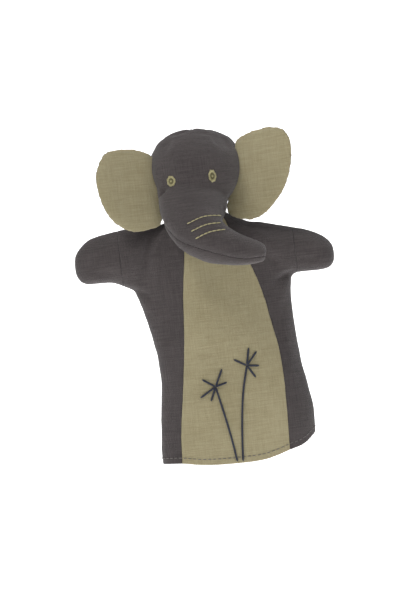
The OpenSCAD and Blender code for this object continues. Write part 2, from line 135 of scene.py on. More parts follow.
def apply_modifiers(obj):
    """Bake the object's modifiers into its mesh."""
    graph = bpy.context.evaluated_depsgraph_get()
    mesh = bpy.data.meshes.new_from_object(obj.evaluated_get(graph))
    obj.modifiers.clear()
    obj.data = mesh
    for face in mesh.polygons:
        face.use_smooth = True


def merged_form(obj, voxel, rounds):
    """Fuse overlapping closed shells into one even skin, then soften it."""
    remesh = obj.modifiers.new("skin", "REMESH")
    remesh.mode = "VOXEL"
    remesh.voxel_size = voxel * MM
    remesh.use_smooth_shade = True
    smooth = obj.modifiers.new("soften", "SMOOTH")
    smooth.factor = 0.5
    smooth.iterations = rounds
    apply_modifiers(obj)


def seamed(bm, curve, keep):
    """Knife the faces that keep(centre) names where x equals curve(z), so that edges lie on the seam."""
    for vert in bm.verts:
        vert.co.x -= curve(vert.co.z)
    faces = [face for face in bm.faces if keep(face.calc_center_median())]
    edges = {edge for face in faces for edge in face.edges}
    verts = {vert for face in faces for vert in face.verts}
    bmesh.ops.bisect_plane(
        bm, geom=faces + list(edges) + list(verts), dist=0.05, plane_co=(0, 0, 0), plane_no=(1, 0, 0)
    )
    for vert in bm.verts:
        vert.co.x += curve(vert.co.z)


def trimmed(bm, co, normal, drop=False):
    """Knife the whole mesh on a plane, and drop what lies beyond it if asked."""
    geom = list(bm.faces) + list(bm.edges) + list(bm.verts)
    bmesh.ops.bisect_plane(bm, geom=geom, dist=0.05, plane_co=co, plane_no=normal, clear_outer=drop)


def part_of(source, name, keep):
    """A new piece from the faces of a form that keep(centre in millimetres) names."""
    bm = opened(source)
    away = [face for face in bm.faces if not keep(face.calc_center_median())]
    bmesh.ops.delete(bm, geom=away, context="FACES")
    return placed(bm, name)


def thickened(obj, thick, levels=1):
    """Give a skin its cloth thickness inwards and a smooth surface."""
    wall = obj.modifiers.new("cloth", "SOLIDIFY")
    wall.thickness = thick * MM
    wall.offset = -1
    finer = obj.modifiers.new("smooth", "SUBSURF")
    finer.levels = levels
    finer.render_levels = levels


def shrunk(obj, amount):
    """Move a skin inwards by an amount in millimetres."""
    bm = opened(obj)
    bm.normal_update()
    for vert in bm.verts:
        vert.co -= vert.normal * amount
    closed_back(bm, obj)
    return obj


def near_line(point, start, end):
    """Distance from a point to a stretch of line, and how far along it the nearest place is."""
    way = end - start
    t = min(max((point - start).dot(way) / way.length_squared, 0), 1)
    return (point - start - way * t).length, t


def thread_piece(name, paths, radius, sides=8):
    """Round threads along several paths, as one mesh."""
    bm = bmesh.new()
    for path in paths:
        points = [Vector(p) for p in path]
        rings = []
        for i, point in enumerate(points):
            way = (points[min(i + 1, len(points) - 1)] - points[max(i - 1, 0)]).normalized()
            slant = Vector((0.31, 0.2, 0.93)) if abs(way.z) < 0.9 else Vector((1, 0.2, 0))
            side = way.cross(slant).normalized()
            up = side.cross(way)
            ends = 0.45 if i in (0, len(points) - 1) else 1.0
            rings.append([
                point + radius * ends * (math.cos(a) * side + math.sin(a) * up)
                for a in (2 * math.pi * k / sides for k in range(sides))
            ])
        lofted(bm, rings, sides)
    bmesh.ops.recalc_face_normals(bm, faces=bm.faces)
    return placed(bm, name)


# ---- the cloth body with its arms ----

LEFT_EDGE = [
    (0, -53), (12, -53.4), (36, -51.2), (60, -48), (84, -46.4), (108, -49.6), (132, -54.8), (146, -59),
    (160, -60), (178, -58), (190, -48), (197, -32), (201, -15),
]
RIGHT_EDGE = [
    (0, 71), (18, 72.3), (36, 73.4), (60, 70), (84, 67), (108, 66.3), (132, 66.6), (145, 68), (160, 66),
    (175, 58), (186, 46), (195, 32), (201, 19),
]
HALF_DEPTH = [
    (0, 22.5), (60, 22.5), (110, 19.5), (145, 18), (170, 17.5), (186, 16), (201, 14),
]
LEFT_ARM = [
    (-30, 172, 24, 15), (-48, 172, 25.2, 15), (-62, 172.5, 24.3, 14.2), (-74, 175, 20.6, 13),
    (-90, 173.8, 18.7, 12), (-98, 171.5, 15.5, 10), (-102.5, 171, 11, 7), (-104.4, 171, 6, 3),
]
RIGHT_ARM = [
    (30, 168, 22, 15), (46, 167.5, 23, 15), (62, 165, 20.8, 14.2), (74, 163.8, 18.6, 13),
    (88, 161.2, 16.6, 12), (97, 158.6, 13.6, 10), (102.6, 157.3, 9.4, 7), (104.6, 157.3, 5, 3),
]
BELLY_LEFT = [(0, -38), (30, -35.3), (66, -29.3), (102, -24.1), (138, -20.5), (168, -15.9), (201, -11)]
BELLY_RIGHT = [(0, 49), (48, 51.4), (84, 50.9), (108, 47.2), (132, 43.2), (156, 36.1), (178, 26), (201, 18)]
HEM_LINE = [(-60, 5.6), (-38, 4.6), (-20, 1.6), (8, 0), (30, 0.6), (50, 5.6), (62, 9), (74, 18)]
SLEEVE_END = {-1: -67, 1: 73}


def oval(centre, u, v, power, count=40):
    """Points round a rounded oval."""
    out = []
    for k in range(count):
        a = 2 * math.pi * k / count
        c, s = math.cos(a), math.sin(a)
        out.append(centre + u * math.copysign(abs(c) ** power, c) + v * math.copysign(abs(s) ** power, s))
    return out


# Soft folds of the worn glove: start, end, half width, and height (a hollow is negative).
FOLDS = [
    ((-30, -16, 196), (-44, -18, 150), 4.5, 1.8), ((-38, -15, 196), (-52, -17, 148), 3.2, -2.6),
    ((-46, -14, 194), (-58, -15, 160), 3.5, 1.6), ((-58, -8, 147), (-40, -20, 132), 3.0, -2.8),
    ((-60, -6, 151), (-44, -18, 144), 3.0, 1.8), ((-56, -10, 140), (-38, -20, 112), 4, 1.7),
    ((-54, -12, 128), (-40, -20, 100), 4, -1.5), ((24, -17, 192), (56, -16, 158), 4.5, 1.7),
    ((30, -16, 186), (60, -14, 150), 3.2, -2.7), ((40, -15, 186), (66, -12, 160), 4, 1.4),
    ((67, -6, 146), (48, -19, 136), 3.0, -2.8), ((68, -6, 150), (50, -18, 146), 3, 1.5),
    ((66, -8, 138), (52, -20, 116), 4, 1.7), ((64, -12, 126), (52, -20, 98), 4, -1.5),
    ((-48, -14, 112), (-36, -20, 60), 7, 1.4), ((60, -14, 118), (58, -18, 50), 7, 1.5),
    ((-12, -22, 120), (-6, -22, 30), 11, 1.2), ((30, -21, 118), (34, -22, 24), 11, 1.3),
    ((18, -22, 150), (8, -22, 104), 6, -1.2), ((-20, -22, 110), (-24, -22, 60), 5, -1.1),
    ((-20, 20, 180), (-34, 20, 90), 7, 1.6), ((22, 20, 178), (40, 20, 80), 7, 1.6),
    ((4, 20, 160), (6, 22, 40), 8, -1.4), ((-70, -12, 186), (-92, -11, 180), 3, 1.0),
    ((-72, -12, 164), (-90, -11, 162), 3, -0.9), ((72, -12, 172), (92, -11, 166), 3, 1.0),
    ((74, -12, 156), (90, -11, 153), 3, -0.9),
]


def folded(bm, folds, ripple, grain):
    """Push a skin in and out along its folds, with a slight unevenness all over."""
    bmesh.ops.recalc_face_normals(bm, faces=bm.faces)
    lines = [(Vector(a), Vector(b), w, h) for a, b, w, h in folds]
    moves = []
    for vert in bm.verts:
        push = ripple * noise.noise(vert.co * grain)
        for start, end, width, height in lines:
            gap, t = near_line(vert.co, start, end)
            if gap < 3 * width:
                fade = min(1.0, 4 * t + 0.25) * min(1.0, 4 * (1 - t) + 0.15)
                push += height * fade * math.exp(-(gap / width) ** 2)
        moves.append(push)
    for vert, push in zip(list(bm.verts), moves):
        vert.co += vert.normal * push


def make_glove_form():
    """The whole cloth body and arms as one open skin."""
    bm = bmesh.new()
    rings = []
    for z in (-14, -4, 8, 22, 38, 56, 74, 92, 110, 126, 140, 152, 164, 176, 186, 193, 198, 203, 210):
        left, right, deep = along(LEFT_EDGE, z), along(RIGHT_EDGE, z), along(HALF_DEPTH, z)
        middle, across = Vector(((left + right) / 2, 0, z)), Vector(((right - left) / 2, 0, 0))
        rings.append(oval(middle, across, Vector((0, deep, 0)), 0.9))
    lofted(bm, rings, 40)
    for arm in (LEFT_ARM, RIGHT_ARM):
        rings = []
        for i in range(17):
            x = mix(arm[0][0], arm[-1][0], 1 - (1 - i / 16) ** 1.5)
            knots = arm if arm is RIGHT_ARM else [(-k[0], *k[1:]) for k in arm]
            z, half, deep = along(knots, abs(x))
            rings.append(oval(Vector((x, 0, z)), Vector((0, 0, half)), Vector((0, deep, 0)), 0.95))
        lofted(bm, rings, 40)
    bmesh.ops.recalc_face_normals(bm, faces=bm.faces)
    obj = placed(bm, "glove_form")
    merged_form(obj, 2.4, 9)
    bm = opened(obj)
    folded(bm, FOLDS, 0.5, 0.05)
    for vert in bm.verts:
        vert.co.z -= along(HEM_LINE, vert.co.x)
    trimmed(bm, (0, 0, 0), (0, 0, -1), drop=True)
    for vert in bm.verts:
        vert.co.z += along(HEM_LINE, vert.co.x)
    trimmed(bm, (0, 0, 201), (0, 0, 1), drop=True)
    trimmed(bm, (0, 0, 0), (0, 1, 0))
    for side in (-1, 1):
        trimmed(bm, (SLEEVE_END[side], 0, 0), (1, 0, 0))
    seamed(bm, lambda z: along(BELLY_LEFT, z), lambda c: c.y < 0)
    seamed(bm, lambda z: along(BELLY_RIGHT, z), lambda c: c.y < 0)
    seamed(bm, lambda z: mix(9, 2, z / 200), lambda c: c.y > 0 and abs(c.x) < 40)
    closed_back(bm, obj)
    return obj


def glove_pieces(form):
    """Cut the form into the panels it was sewn from."""
    def belly(c):
        return c.y < 0 and along(BELLY_LEFT, c.z) < c.x < along(BELLY_RIGHT, c.z)

    def arm(c, side):
        return side * c.x > side * SLEEVE_END[side]
    pieces = {"belly": part_of(form, "belly_cloth", belly)}
    for side, word in ((-1, "left"), (1, "right")):
        def mine(c, front, side=side):
            middle = mix(9, 2, c.z / 200)
            if front:
                seam = along(BELLY_LEFT if side < 0 else BELLY_RIGHT, c.z)
                return c.y < 0 and side * c.x > side * seam
            return c.y > 0 and side * (c.x - middle) > 0
        for front in (True, False):
            place = "front" if front else "back"
            pieces[f"{word}_{place}"] = part_of(
                form, f"{word}_side_{place}_cloth",
                lambda c, f=front, m=mine, s=side: m(c, f) and not arm(c, s))
            pieces[f"{word}_paw_{place}"] = part_of(
                form, f"{word}_paw_{place}_cloth", lambda c, f=front, m=mine, s=side: m(c, f) and arm(c, s))
    return pieces


# ---- the stuffed head and trunk ----

TRUNK = [
    (0, -1, -6, 232, 30, 24), (1, -2.5, -18, 216, 28.5, 19.5), (2, -4.5, -30, 202, 26, 17.5),
    (3, -2.5, -40, 189.5, 22, 15.5), (4, 4.5, -48, 180.5, 18.6, 14), (5, 14, -51, 174, 15.8, 12.6),
    (6, 25, -53, 169.6, 13, 11), (7, 35, -53, 166.6, 10.8, 9.6), (8, 43, -52.4, 165, 8.6, 8),
    (9, 48, -52, 164.6, 6, 5),
]
UNDER_SEAM = [
    (-34, 206), (-27, 193), (-20, 183), (-12, 177.4), (0, 171.5), (12, 166.4), (24, 162.2), (34, 160.4),
    (50, 160.6),
]
FACE_SEAM_Y = -9


def make_head_form():
    """Head and trunk as one stuffed form, swollen a little by its filling."""
    bm = bmesh.new()
    bmesh.ops.create_uvsphere(bm, u_segments=48, v_segments=32, radius=1)
    for vert in bm.verts:
        c = vert.co
        power = sum(abs(v) ** 2.25 for v in c) ** (1 / 2.25)
        c /= power
        lower = ease((-c.z - 0.1) / 0.9)
        vert.co = HEAD + Vector((
            c.x * mix(36.6, 33, lower), c.y * (39 if c.y < 0 else 33), c.z * (32 if c.z > 0 else 36)
        ))
    rings = []
    for i in range(25):
        s = 9 * (1 - (1 - i / 24) ** 1.25)
        x, y, z, wide, deep = along(TRUNK, s)
        ahead, behind = along(TRUNK, min(s + 0.1, 9)), along(TRUNK, max(s - 0.1, 0))
        way = (Vector(ahead[:3]) - Vector(behind[:3])).normalized()
        across = Vector((-way.z, 0, way.x)).normalized()
        rings.append(oval(Vector((x, y, z)), across * wide, across.cross(way) * deep, 0.95, 32))
    lofted(bm, rings, 32)
    bmesh.ops.recalc_face_normals(bm, faces=bm.faces)
    obj = placed(bm, "head_form")
    merged_form(obj, 1.9, 16)
    swollen(obj, 3.0, 14, 1.6)
    bm = opened(obj)
    folded(bm, HEAD_FOLDS, 0.55, 0.06)
    pulled_in(bm, head_seam_gap, 0.9, 1.7)
    trimmed(bm, (0, FACE_SEAM_Y, 0), (0, 1, 0))
    seamed(bm, lambda z: HEAD.x, lambda c: c.y > FACE_SEAM_Y)
    for vert in bm.verts:
        vert.co.z -= along(UNDER_SEAM, vert.co.x)
    faces = [f for f in bm.faces if f.calc_center_median().y < FACE_SEAM_Y]
    geom = faces + list({e for f in faces for e in f.edges}) + list({v for f in faces for v in f.verts})
    bmesh.ops.bisect_plane(bm, geom=geom, dist=0.05, plane_co=(0, 0, 0), plane_no=(0, 0, 1))
    for vert in bm.verts:
        vert.co.z += along(UNDER_SEAM, vert.co.x)
    closed_back(bm, obj)
    return obj


HEAD_FOLDS = [
    ((-20, -34, 214), (-27, -26, 200), 2.6, -0.9), ((18, -34, 206), (22, -38, 196), 2.4, -1.1),
    ((17, -38, 200), (8, -42, 203), 2.2, -0.6), ((2, 0, 271), (4, -22, 266), 2.0, -0.7),
    ((24, -48, 178), (20, -60, 168), 2.4, -0.7), ((34, -48, 175), (31, -60, 165), 2.2, -0.6),
]


def under_gap(co):
    """Height over the seam under the trunk."""
    return co.z - along(UNDER_SEAM, co.x)


def head_seam_gap(co):
    """Distance from the nearest seam of the head."""
    gaps = [abs(co.y - FACE_SEAM_Y)]
    if co.y > FACE_SEAM_Y:
        gaps.append(abs(co.x - HEAD.x))
    elif co.z < 206:
        gaps.append(abs(under_gap(co)) * 0.8)
    return min(gaps)


def pulled_in(bm, gap_of, depth, width):
    """Draw the skin in beside its seams."""
    bm.normal_update()
    moves = [(vert, depth * math.exp(-(gap_of(vert.co) / width) ** 2)) for vert in bm.verts]
    for vert, amount in moves:
        vert.co -= vert.normal * amount


def swollen(obj, pressure, frames, cap):
    """Fill a closed skin with stuffing: a cloth simulation with pressure, its reach capped in millimetres."""
    scene = bpy.context.scene
    before = [vert.co.copy() for vert in obj.data.vertices]
    sim = obj.modifiers.new("filling", "CLOTH")
    sim.settings.quality = 5
    sim.settings.mass = 0.2
    sim.settings.use_pressure = True
    sim.settings.uniform_pressure_force = pressure
    sim.settings.shrink_min = -0.02
    sim.settings.effector_weights.gravity = 0
    sim.settings.tension_stiffness = 12
    sim.settings.bending_stiffness = 0.4
    sim.collision_settings.use_collision = False
    sim.point_cache.frame_start = 1
    sim.point_cache.frame_end = frames
    for step in range(1, frames + 1):
        scene.frame_set(step)
    apply_modifiers(obj)
    for vert, old in zip(obj.data.vertices, before):
        move = vert.co - old
        if move.length > cap * MM:
            vert.co = old + move.normalized() * cap * MM
    scene.frame_set(1)


# ---- ears ----

EAR_SEAM_Y = -14
EAR_TURN = math.radians(25)
EARS = {
    -1: (-33.5, [
        (-3.5, 8), (-2, 24), (7, 30), (17, 32.4), (29, 32.3), (37, 28.5), (43.5, 16), (44.4, 2),
        (40.6, -14), (34, -25), (22, -33.6), (9, -34), (-3, -30), (-5, -12),
    ]),
    1: (37.5, [
        (-4, 6), (-2.5, 27), (8, 33.5), (22, 36), (35, 34), (41, 25), (41.2, 14), (38.5, 0),
        (32.5, -13.5), (24, -24), (13, -33), (1, -35.5), (-14.5, -28), (-11.5, -13),
    ]),
}


def closed_curve(points, steps):
    """A smooth closed outline."""
    out = []
    count = len(points)
    for i in range(count):
        a, b, c, d = (Vector(points[(i + k) % count]) for k in (-1, 0, 1, 2))
        for k in range(steps):
            t = k / steps
            u = 1 - t
            out.append(
                b * (1 + 2 * t) * u * u + (c - a) / 2 * t * u * u
                + c * t * t * (3 - 2 * t) - (d - b) / 2 * t * t * u
            )
    return out


def ear_place(side, reach, z, out):
    """A point of the ear: reach from its seam, height, and distance behind its middle sheet."""
    seam = EARS[side][0]
    dish = 2.6 * math.sin(math.pi * min(max(reach / 44, 0), 1))
    return Vector((
        seam + side * (reach + out * math.sin(EAR_TURN)),
        EAR_SEAM_Y - reach * math.tan(EAR_TURN) + (out + dish) * math.cos(EAR_TURN),
        227 + z,
    ))


def make_ear_form(side):
    """One padded ear, closed, and knifed round its edge into front and back."""
    outline = closed_curve(EARS[side][1], 4)
    middle = Vector((20, 0))
    bm = bmesh.new()
    rings = []
    for face in (-1, 1):
        shares = (0.03, 0.25, 0.5, 0.7, 0.86, 0.95, 0.99)
        for share in shares if face < 0 else reversed(shares):
            thick = 2.5 * (1 - share ** 5) ** 0.5
            rings.append([ear_place(side, *(middle + (p - middle) * share), face * thick) for p in outline])
    lofted(bm, rings, len(outline))
    bmesh.ops.recalc_face_normals(bm, faces=bm.faces)
    obj = placed(bm, f"ear_form_{side}")
    merged_form(obj, 1.5, 2)
    swollen(obj, 1.2, 10, 0.7)
    bm = opened(obj)
    puckers = []
    for k in range(0, len(outline), 4):
        edge = ear_place(side, *(middle + (outline[k] - middle) * 0.98), 0)
        inner = ear_place(side, *(middle + (outline[k] - middle) * 0.8), 0)
        puckers.append((tuple(edge), tuple(inner), 1.5, -0.35))
    folded(bm, puckers, 0.45, 0.07)
    for vert in bm.verts:
        reach = side * (vert.co.x - EARS[side][0])
        vert.co.y -= ear_place(side, reach, 0, 0).y
    trimmed(bm, (0, 0, 0), (0, 1, 0))
    for vert in bm.verts:
        reach = side * (vert.co.x - EARS[side][0])
        vert.co.y += ear_place(side, reach, 0, 0).y
    closed_back(bm, obj)
    return obj


def ear_front(side):
    """Whether a place lies in front of an ear's edge."""
    return lambda c: c.y < ear_place(side, side * (c.x - EARS[side][0]), 0, 0).y


# ---- threads laid on the cloth ----

def surface_of(obj):
    """A tree to lay threads on, in millimetres."""
    bm = opened(obj)
    bmesh.ops.recalc_face_normals(bm, faces=bm.faces)
    tree = BVHTree.FromBMesh(bm)
    bm.free()
    return tree


def in_front(tree, x, z, lift):
    """The place on the front of a surface at x and z, lifted off it."""
    hit, normal, _, _ = tree.ray_cast(Vector((x, -200, z)), Vector((0, 1, 0)))
    if normal.y > 0:
        normal = -normal
    return hit + normal * lift


def laid_line(tree, points, steps, lift):
    """A thread's path through (x, z) points, on the surface."""
    knots = [(i, *p) for i, p in enumerate(points)]
    return [in_front(tree, *along(knots, (len(points) - 1) * k / steps), lift) for k in range(steps + 1)]


def stitched_line(tree, points, stitch, gap, lift):
    """A back-stitched line: short threads end to end, a little bowed."""
    knots = [(i, *p) for i, p in enumerate(points)]
    dense = [Vector(along(knots, (len(points) - 1) * k / 200)) for k in range(201)]
    walked, paths, start = 0.0, [], 0
    for k in range(1, 201):
        walked += (dense[k] - dense[k - 1]).length
        if walked >= stitch:
            a, b = dense[start], dense[k]
            paths.append([in_front(tree, *mix(a, b, t), lift + 0.25 * math.sin(math.pi * t) - 0.15)
                          for t in (0.02, 0.25, 0.5, 0.75, 1 - gap / stitch)])
            walked, start = 0.0, k
    return paths


def eye_threads(tree, x, z, rx, rz, inner, outer, count, lift):
    """Satin stitches set radially in an oval ring."""
    paths = []
    for k in range(count):
        a = 2 * math.pi * k / count
        wobble = 0.06 * math.sin(7.3 * k)
        paths.append([
            in_front(
                tree, x + rx * r * math.cos(a), z + rz * r * math.sin(a), lift + 0.35 * math.sin(math.pi * t)
            )
            for t, r in ((t, mix(inner, outer + wobble, t)) for t in (0, 0.3, 0.7, 1))
        ])
    return paths


def hem_paths(tree):
    """Running stitches round the hem, on the outside."""
    ring = []
    for k in range(1441):
        a = 2 * math.pi * k / 1440
        way = Vector((math.cos(a), math.sin(a), 0))
        x = 9 + 60 * way.x
        start = Vector((9, 0, along(HEM_LINE, x) + 4.8))
        hit = tree.ray_cast(start, way)[0]
        if hit is None:
            continue
        hit = tree.ray_cast(Vector((9, 0, along(HEM_LINE, hit.x) + 4.8)), way)[0] or hit
        ring.append(hit + (hit - start).normalized() * 0.3)
    paths, walked, path = [], 0.0, []
    for a, b in zip(ring, ring[1:]):
        if walked < 2.7:
            path.append(a)
        elif path:
            paths.append(path[::max(1, len(path) // 4)] + [path[-1]])
            path = []
        walked += (b - a).length
        if walked >= 3.9:
            walked = 0.0
    return [p for p in paths if len(p) > 2]


# ---- finishes ----

class Value:
    """A number that varies over a surface, so that a pattern reads as plain arithmetic."""

    def __init__(self, finish, socket):
        self.finish = finish
        self.socket = socket

    def _with(self, operation, *others):
        values = {0: self, **dict(enumerate(others, 1))}
        return self.finish.node("ShaderNodeMath", {"operation": operation}, values)

    def __add__(self, other):
        return self._with("ADD", other)

    def __sub__(self, other):
        return self._with("SUBTRACT", other)

    def __mul__(self, other):
        return self._with("MULTIPLY", other)

    def __rsub__(self, other):
        return self * -1.0 + other

    __radd__ = __add__
    __rmul__ = __mul__

    def sine(self):
        return self._with("SINE")

    def size(self):
        return self._with("ABSOLUTE")

    def power(self, other):
        return self._with("POWER", other)

    def larger(self, other):
        return self._with("MAXIMUM", other)

    def over(self, limit):
        return self._with("GREATER_THAN", limit)


class Finish:
    """One material: its nodes are made and joined here."""

    def __init__(self, name, roughness, sheen=0.0):
        self.material = bpy.data.materials.new(name)
        self.material.use_nodes = True
        self.tree = self.material.node_tree
        self.shader = self.tree.nodes["Principled BSDF"]
        self.shader.inputs["Roughness"].default_value = roughness
        self.shader.inputs["Sheen Weight"].default_value = sheen
        self.shader.inputs["Sheen Roughness"].default_value = 0.5
        self.shader.inputs["Specular IOR Level"].default_value = 0.25

    def node(self, kind, settings=None, inputs=None, output=0):
        made = self.tree.nodes.new(kind)
        for key, value in (settings or {}).items():
            setattr(made, key, value)
        self.feed(made, inputs or {})
        return Value(self, made.outputs[output])

    def feed(self, made, inputs):
        for key, value in inputs.items():
            if isinstance(value, Value):
                self.tree.links.new(value.socket, made.inputs[key])
            else:
                made.inputs[key].default_value = value

    def place(self, scale=(1, 1, 1), turn=(0, 0, 0)):
        """Object coordinates, stretched and turned."""
        here = self.node("ShaderNodeTexCoord", output="Object")
        return self.node("ShaderNodeMapping", None, {"Vector": here, "Scale": scale, "Rotation": turn})

    def noise(self, vector, scale, detail=2.0, roughness=0.5):
        return self.node(
            "ShaderNodeTexNoise", None,
            {"Vector": vector, "Scale": scale, "Detail": detail, "Roughness": roughness}
        )

    def blend(self, amount, a, b):
        made = self.tree.nodes.new("ShaderNodeMix")
        made.data_type = "RGBA"
        for socket, value in ((made.inputs[0], amount), (made.inputs[6], a), (made.inputs[7], b)):
            if isinstance(value, Value):
                self.tree.links.new(value.socket, socket)
            else:
                socket.default_value = value
        return Value(self, made.outputs[2])

    def finish(self, colour, bump=None, height=0.0, roughness=None):
        self.feed(self.shader, {"Base Color": colour})
        if roughness is not None:
            self.feed(self.shader, {"Roughness": roughness})
        if bump is not None:
            lifted = self.node("ShaderNodeBump", None, {"Strength": 1.0, "Distance": height, "Height": bump})
            self.feed(self.shader, {"Normal": lifted})
        return self.material


def rgb(red, green, blue):
    """A colour given as it looks on a screen, 0 to 255, for a shader."""
    def linear(value):
        value /= 255
        return value / 12.92 if value < 0.04045 else ((value + 0.055) / 1.055) ** 2.4
    return (linear(red), linear(green), linear(blue), 1.0)


def woven(name, dark, base, light, pitch, sheen):
    """Plain weave with slubs: warp runs up, weft across, and a thread now and then is thicker or paler."""
    cloth = Finish(name, 0.92, sheen)
    axes = cloth.node("ShaderNodeSeparateXYZ", None, {"Vector": cloth.place()}, "X")
    split = axes.socket.node
    x, y, z = (Value(cloth, split.outputs[i]) for i in range(3))
    wander = cloth.noise(cloth.place((90, 90, 90)), 1.0, 2.0)
    warp = ((x + y * 0.8) * (2 * math.pi / pitch) + wander * 2.2).sine().size()
    weft = (z * (2 * math.pi / pitch) + wander * 2.2).sine().size()
    slub_up = cloth.noise(cloth.place((1500, 1500, 60)), 1.0, 2.0, 0.6)
    slub_across = cloth.noise(cloth.place((60, 60, 1500)), 1.0, 2.0, 0.6)
    speck = cloth.noise(cloth.place((2600, 2600, 2600)), 1.0, 1.0)
    cloud = cloth.noise(cloth.place((22, 22, 22)), 1.0, 3.0)
    weave = warp.larger(weft)
    pale = slub_up * 0.5 + slub_across * 0.6 + speck * 0.35 + cloud * 0.35 - 0.4
    tone = cloth.node("ShaderNodeMapRange", None, {0: pale, 1: 0.25, 2: 0.75})
    colour = cloth.blend(tone, dark, light)
    colour = cloth.blend(0.45, colour, base)
    colour = cloth.blend((1 - weave) * 0.35, colour, dark)
    return cloth.finish(colour, weave * 0.6 + slub_across * 0.8 + slub_up * 0.6, 0.0004)


def spun(name, dark, light, twist, sheen=0.2, roughness=0.6):
    """Thread: fine strands wound round it."""
    yarn = Finish(name, roughness, sheen)
    strands = yarn.noise(yarn.place((1800, 1800, 700), (0.4, 0.6, 0.2)), 1.0, 2.0)
    wind = yarn.node("ShaderNodeTexWave", {"wave_type": "BANDS", "bands_direction": "DIAGONAL"},
                     {"Vector": yarn.place(), "Scale": twist, "Distortion": 2.0, "Detail": 1.0}, "Fac")
    shade = strands * 0.6 + wind * 0.4
    return yarn.finish(yarn.blend(shade, dark, light), shade, 0.0003)


def loose_fibre():
    """Soft white filling."""
    fibre = Finish("loose_filling", 0.95, 0.4)
    tuft = fibre.noise(fibre.place((160, 160, 160)), 1.0, 6.0, 0.65)
    return fibre.finish(fibre.blend(tuft, rgb(206, 202, 192), rgb(244, 241, 234)), tuft, 0.002)


def rolled_card():
    """Brown card with a fibrous, faintly banded face."""
    card = Finish("rolled_card", 0.8)
    fibres = card.noise(card.place((900, 900, 120)), 1.0, 4.0, 0.6)
    return card.finish(card.blend(fibres, rgb(142, 117, 84), rgb(188, 163, 124)), fibres, 0.0002)


GREY = woven("grey_slub_cotton", rgb(43, 38, 39), rgb(66, 60, 60), rgb(98, 91, 90), 0.0011, 0.2)
TAN = woven("tan_slub_cotton", rgb(128, 118, 86), rgb(158, 148, 115), rgb(186, 177, 146), 0.0011, 0.2)
PALE_THREAD = spun("pale_embroidery", rgb(150, 142, 98), rgb(204, 196, 152), 900)
OLIVE_THREAD = spun("olive_embroidery", rgb(84, 80, 50), rgb(124, 118, 80), 900)
NAVY_THREAD = spun("navy_embroidery", rgb(18, 20, 28), rgb(52, 56, 72), 700)
SEWING_THREAD = spun("grey_sewing_thread", rgb(84, 80, 78), rgb(132, 127, 120), 1200)
FILLING = loose_fibre()
CARD = rolled_card()


def dressed(obj, material, body, slot, *stands_for):
    """Give a piece its finish, its body and the CAD nodes that it stands for."""
    obj.data.materials.clear()
    obj.data.materials.append(material)
    if stands_for:
        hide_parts(*stands_for)
    if body:
        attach(obj, body)
    return obj


# ---- putting the puppet together ----


def dress_glove():
    form = make_glove_form()
    tree = surface_of(form)
    pieces = glove_pieces(form)
    rim = part_of(form, "hem_facing_cloth", lambda c: c.z < along(HEM_LINE, c.x) + 9.2)
    shrunk(rim, 1.3)
    bpy.data.objects.remove(form)
    thickened(dressed(rim, GREY, "glove", "grey_cloth", "hem_facing"), 0.7)
    for obj in pieces.values():
        thickened(obj, 1.0)
    dressed(pieces["belly"], TAN, "glove", "tan_cloth", "belly_panel")
    for side, word in ((-1, "left"), (1, "right")):
        for place in ("front", "back"):
            coat = dressed(pieces[f"{word}_{place}"], GREY, None, "grey_cloth",
                           f"{word}_side_{place}", f"{word}_sleeve_{place}")
            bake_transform(coat)
            paw = dressed(pieces[f"{word}_paw_{place}"], GREY, None, "grey_cloth", f"{word}_paw_{place}")
            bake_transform(paw)
    return tree


def dress_embroidery(tree):
    flowers = {
        "left_flower": ((-3.6, 62.7), ((3, 76), (5.7, 65.1), (-8.4, 51.8), (-16.3, 55.3), (-13.4, 69.6)),
                        ((-3.6, 62.7), (-0.4, 46), (2.2, 32), (4.6, 17), (6.5, 1.6))),
        "right_flower": ((23.2, 76.5), ((26.2, 90.3), (32, 86.6), (32.8, 75.2), (29.1, 66.4), (13.4, 82.4)),
                         ((23.2, 76.5), (18.2, 58), (15, 40), (12.6, 20), (11, 1.4))),
    }
    for name, (centre, rays, stem) in flowers.items():
        paths = [
            laid_line(tree, (mix(Vector(centre), Vector(ray), 0.03), Vector(ray)), 8, 0.6) for ray in rays
        ]
        paths.append(laid_line(tree, stem, 40, 0.6))
        dressed(thread_piece(f"{name}_threads", paths, 0.85), NAVY_THREAD, "glove", "navy_thread", name)
    stitching = thread_piece("hem_top_stitching", hem_paths(tree), 0.32, 6)
    dressed(stitching, SEWING_THREAD, "glove", "grey_thread", "hem_stitching")


